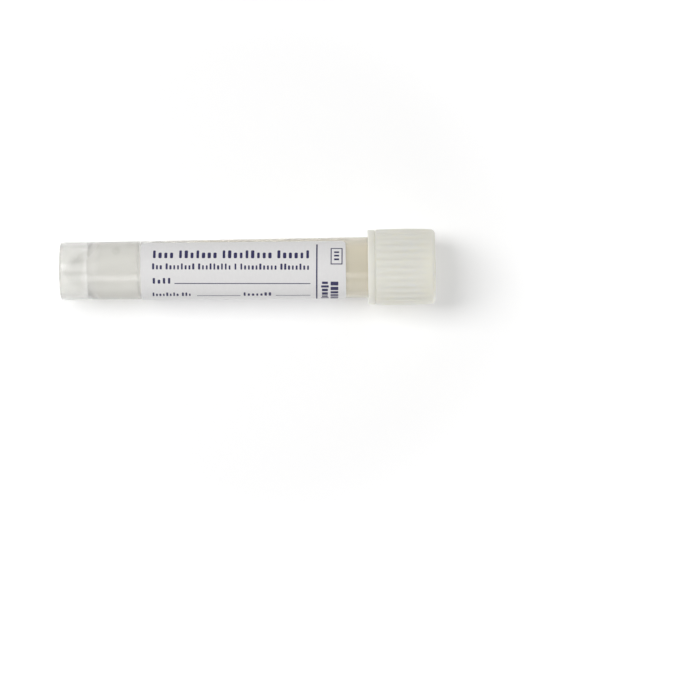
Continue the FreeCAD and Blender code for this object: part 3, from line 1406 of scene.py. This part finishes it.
@dataclass
class WrappedLabel(SubAssembly):
    """Label wrapped round the drafted body, open at the back along a strip that leans a little."""

    thickness: float = 0.12
    slot_width: float = 7.4
    slot_turn_deg: float = 175.0
    skew_deg: float = 0.9
    corner_radius: float = 1.0
    corner_rows: int = 8
    rows: int = 12
    columns: int = 300
    ink_thickness: float = 0.014
    ink_sunk: float = 0.004
    straight_share: float = 0.5

    def face_radius(self, height: float) -> float:
        """Radius of the label's face at a height."""
        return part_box(self.node)[1].x / MM - (self.top() - height) * math.tan(BODY_DRAFT)

    def row_heights(self) -> list[float]:
        """Heights of the sheet's rows.

        Returns:
            The heights, closer together in the sheet's rounded corners.
        """
        low, high, radius = self.foot(), self.top(), self.corner_radius
        turns = [math.pi / 2 * step / self.corner_rows for step in range(self.corner_rows)]
        corner = [radius * (1 - math.cos(turn)) for turn in turns]
        span = high - low - 2 * radius
        middle = [low + radius + span * row / self.rows for row in range(self.rows + 1)]
        return [low + step for step in corner] + middle + [high - step for step in reversed(corner)]

    def row_ends(self, height: float) -> tuple[float, float]:
        """Where a row of the sheet starts and ends.

        Args:
            height: the row's height.

        Returns:
            Two angles about +Z from +X.
        """
        low, high = self.foot(), self.top()
        from_end = min(height - low, high - height)
        inset = 0.0
        if from_end < self.corner_radius:
            short = self.corner_radius - from_end
            inset = self.corner_radius - math.sqrt(max(self.corner_radius**2 - short**2, 0.0))
        lean = (height - (low + high) / 2) * math.tan(math.radians(self.skew_deg))
        radius = self.face_radius(height)
        middle = math.radians(self.slot_turn_deg)
        half = self.slot_width / 2
        start = middle + math.asin((half + inset + lean) / radius)
        end = middle + FULL_TURN - math.asin((half + inset - lean) / radius)
        return start, end

    def sheet(self) -> bpy.types.Mesh:
        """Builds the label as a thin closed sheet.

        Returns:
            Its mesh, in metres.
        """
        heights = self.row_heights()
        places = []
        for layer in (0.0, self.thickness):
            for height in heights:
                start, end = self.row_ends(height)
                radius = self.face_radius(height) - layer
                for column in range(self.columns + 1):
                    angle = start + (end - start) * column / self.columns
                    x = radius * math.cos(angle) * MM
                    places.append((x, radius * math.sin(angle) * MM, height * MM))
        width = self.columns + 1
        layer_size = width * len(heights)
        faces = []
        for row in range(len(heights) - 1):
            for column in range(self.columns):
                first = row * width + column
                quad = [first, first + 1, first + width + 1, first + width]
                faces.append(quad)
                faces.append([layer_size + v for v in reversed(quad)])
        border = list(range(width))
        border += [row * width + width - 1 for row in range(1, len(heights))]
        border += [(len(heights) - 1) * width + column for column in range(width - 2, -1, -1)]
        border += [row * width for row in range(len(heights) - 2, 0, -1)]
        for one, other in zip(border, border[1:] + border[:1]):
            faces.append([one, one + layer_size, other + layer_size, other])
        mesh = bpy.data.meshes.new("label_sheet")
        mesh.from_pydata(places, [], faces)
        face_outwards(mesh)
        return mesh

    def build(self, film: Finish, ink: Finish) -> None:
        """Builds the sheet and its print and dresses them.

        Args:
            film: what the sheet is made of.
            ink: what it is printed with.
        """
        sheet = add_object("label_sheet", self.sheet())
        sheet.data.materials.append(film.material())
        self.settle(sheet)
        printed = add_object("label_print", Print().mesh())
        wrap = {
            "Low": self.foot() * MM,
            "Radius": self.face_radius(self.foot()) * MM,
            "Slope": math.tan(BODY_DRAFT),
            "Lean": math.tan(math.radians(self.skew_deg)),
            "Middle": (self.top() - self.foot()) / 2 * MM,
            "Straight share": self.straight_share,
            "Thickness": self.ink_thickness * MM,
            "Sunk": self.ink_sunk * MM,
        }
        PrintRule("label_print", wrap, ink.material()).apply(printed)
        self.settle(printed, replaces=False)


@dataclass
class LiquidMedium(SubAssembly):
    """Liquid at rest in the pointed floor. It wets the wall, climbs it a little and holds a bubble."""

    bore: Bore = Bore()
    wetting: float = 0.03
    climb: float = 0.5
    climb_reach: float = 0.8
    climb_end: float = 3.2
    climb_steps: int = 14
    surface_drop: float = 0.1
    bubble_radius: float = 0.75
    bubble_height: float = 12.4
    bubble_turn_deg: float = 213.0
    bubble_gap: float = 0.08
    bubble_columns: int = 40
    bubble_rows: int = 24
    tip_steps: int = 10
    wall_rows: int = 8
    columns: int = 192

    def surface(self, wall: float) -> list[Corner]:
        """The liquid's curved surface near the wall.

        Args:
            wall: distance of the wall from the axis.

        Returns:
            Corners from the wall inwards.
        """
        level = self.top() - self.surface_drop
        corners = []
        for step in range(self.climb_steps + 1):
            inward = self.climb_end * step / self.climb_steps
            rise = (self.climb + self.surface_drop) * math.exp(-inward / self.climb_reach)
            corners.append(Corner(wall - inward, level + rise))
        return corners

    def corners(self) -> list[Corner]:
        """Outline of the liquid.

        Returns:
            Its corners, from the tip of the floor, up the wall, and over its curved surface.
        """
        bore = self.bore
        bend = bore.radius + self.wetting
        bend_height = bore.slope_height(bend) - self.wetting / math.sin(bore.half_angle)
        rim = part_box("tube")[1].z / MM
        share = (self.top() + self.climb - bend_height) / (rim - bend_height)
        wall = bore.radius + share * (bore.mouth_radius - bore.radius) + self.wetting
        return [
            *ball(bore.tip_height, bore.tip_radius + self.wetting, 90, bore.half_angle_deg, self.tip_steps),
            Corner(bend, bend_height, bore.rounding, self.wall_rows),
            *self.surface(wall),
            Corner(0, self.top() - self.surface_drop),
        ]

    def hollow_bubble(self, mesh: bpy.types.Mesh) -> None:
        """Adds a round bubble that clings to the wall, as a hollow whose faces look into it.

        Args:
            mesh: the liquid's mesh.
        """
        angle = math.radians(self.bubble_turn_deg)
        reach = self.bore.radius - self.bubble_radius - self.bubble_gap
        place = Vector((reach * math.cos(angle), reach * math.sin(angle), self.bubble_height)) * MM
        outline = walk(ball(0, self.bubble_radius, 90, -90, self.bubble_rows))
        bubble = turned("bubble", outline, self.bubble_columns)
        bubble.transform(Matrix.Translation(place))
        bubble.flip_normals()
        work = bmesh.new()
        work.from_mesh(mesh)
        work.from_mesh(bubble)
        work.to_mesh(mesh)
        work.free()
        bpy.data.meshes.remove(bubble)

    def build(self, finish: Finish) -> None:
        """Builds the liquid and dresses it.

        Args:
            finish: what the piece is made of.
        """
        mesh = turned("liquid_medium", walk(self.corners()), self.columns)
        self.hollow_bubble(mesh)
        mesh.materials.append(finish.material())
        self.settle(add_object("liquid_medium", mesh))


# ---------------------------------------------------------------------------------------------
# Studio


@dataclass(frozen=True)
class Lamp:
    """A soft lamp that points at the middle of the object, in metres and watts.

    Its length lies more or less along the tube.
    """

    name: str
    place: tuple[float, float, float]
    width: float
    length: float
    power: float
    shadow: bool = True

    def hang(self) -> None:
        """Hangs the lamp."""
        data = bpy.data.lights.new(self.name, "AREA")
        data.shape = "RECTANGLE"
        data.size = self.width
        data.size_y = self.length
        data.energy = self.power
        data.use_shadow = self.shadow
        made = bpy.data.objects.new(self.name, data)
        bpy.context.scene.collection.objects.link(made)
        low, high = CAD_BOX
        made.location = self.place
        made.rotation_euler = ((low + high) / 2 - Vector(self.place)).to_track_quat("-Z", "Y").to_euler()


@dataclass
class Studio:
    """White paper behind and below the object, soft light and the camera. Lengths are in metres."""

    view_width: float = 0.15535
    camera_distance: float = 0.85
    camera_height: float = 0.06388
    camera_aside: float = 0.0183
    roll_deg: float = 0.75
    sensor: float = 36.0
    clip: tuple[float, float] = (0.01, 10.0)
    floor_size: float = 1.6
    floor_light: float = 0.5
    backdrop_size: float = 0.8
    backdrop_light: float = 0.105
    paper_gap: float = 0.0001
    ambient: float = 0.35
    lamps: tuple[Lamp, ...] = (
        Lamp("key_lamp", (-0.2, -0.8, -0.46), 0.46, 0.64, 5.3),
        Lamp("fill_lamp", (0.5, -0.8, -0.05), 0.35, 0.35, 1.2, shadow=False),
        Lamp("card_lamp", (0.7, -0.24, 0.04), 0.4, 0.4, 0.6, shadow=False),
        Lamp("top_lamp", (-0.25, -0.3, 0.85), 0.5, 0.5, 1.0),
        Lamp("rear_lamp", (0.3, 0.8, 0.35), 0.6, 0.6, 2.0),
    )

    def sheet(self, name: str, size: float, near_light: float) -> bpy.types.Object:
        """A square sheet of stage paper that faces +Z.

        Args:
            name: the sheet's name.
            size: its side.
            near_light: the light of its own close to its middle.

        Returns:
            The sheet.
        """
        half = size / 2
        mesh = bpy.data.meshes.new(name)
        corners = [(-half, -half, 0), (half, -half, 0), (half, half, 0), (-half, half, 0)]
        mesh.from_pydata(corners, [], [(0, 1, 2, 3)])
        made = add_object(name, mesh)
        mesh.materials.append(StageWhite(f"{name}_white", near_light).material())
        made.visible_shadow = False
        return made

    def lay_paper(self) -> None:
        """Lays the floor under the foot, and the backdrop against the back of cap and foot."""
        floor = self.sheet("floor", self.floor_size, self.floor_light)
        floor.visible_diffuse = False
        _, cap_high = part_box("screw_cap")
        _, tube_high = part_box("tube")
        foot_back = tube_high.y - tube_high.z * math.tan(BODY_DRAFT)
        lean = math.atan((cap_high.y - foot_back) / cap_high.z)
        middle = cap_high.z / 2
        backdrop = self.sheet("backdrop", self.backdrop_size, self.backdrop_light)
        backdrop.rotation_euler = (math.pi / 2 - lean, 0, 0)
        backdrop.location = (0, foot_back + middle * math.tan(lean) + self.paper_gap, middle)

    def surround(self) -> None:
        """Sets the surroundings, white to the camera and softer as light."""
        world = bpy.data.worlds.new("studio")
        world.use_nodes = True
        graph = Graph(world.node_tree)
        level = graph.seen_directly() * (1.0 - self.ambient) + self.ambient
        white = (1.0, 1.0, 1.0, 1.0)
        glow = graph.node("ShaderNodeBackground", None, {"Color": white, "Strength": level})
        graph.node("ShaderNodeOutputWorld", None, {"Surface": glow})
        bpy.context.scene.world = world

    def set_camera(self) -> None:
        """Looks straight at the side of the tube, which lies across the picture with its cap right."""
        data = bpy.data.cameras.new("camera")
        data.sensor_width = self.sensor
        data.lens = self.sensor * self.camera_distance / self.view_width
        data.clip_start, data.clip_end = self.clip
        camera = bpy.data.objects.new("camera", data)
        bpy.context.scene.collection.objects.link(camera)
        roll = math.radians(self.roll_deg)
        right = Vector((math.sin(roll), 0, math.cos(roll)))
        up = Vector((-math.cos(roll), 0, math.sin(roll)))
        turned_by = Matrix((right, up, right.cross(up))).transposed().to_4x4()
        place = Vector((self.camera_aside, -self.camera_distance, self.camera_height))
        camera.matrix_world = Matrix.Translation(place) @ turned_by
        bpy.context.scene.camera = camera
        log.info("camera: %.2f m away, lens %.0f mm", self.camera_distance, data.lens)

    def build(self) -> None:
        """Sets the whole stage."""
        self.set_camera()
        self.lay_paper()
        for lamp in self.lamps:
            lamp.hang()
        self.surround()
        bpy.context.scene.view_settings.view_transform = "Standard"


def main() -> None:
    """Builds the studio and every piece in order."""
    logging.basicConfig(level=logging.INFO, format="%(message)s")
    Studio().build()
    LiquidMedium("medium", "tube_body", "liquid").build(Liquid("straw_liquid"))
    MouldedTube("tube", "tube_body", "clear_plastic").build(ClearPlastic("clear_plastic"))
    WrappedLabel("label", "tube_body", "label_paper").build(LabelFilm("label_film"), Ink("navy_ink"))
    ScrewCap("screw_cap", "cap_body", "cap_plastic").build(CapPlastic("natural_cap_plastic"))


if __name__ == "__main__":
    main()
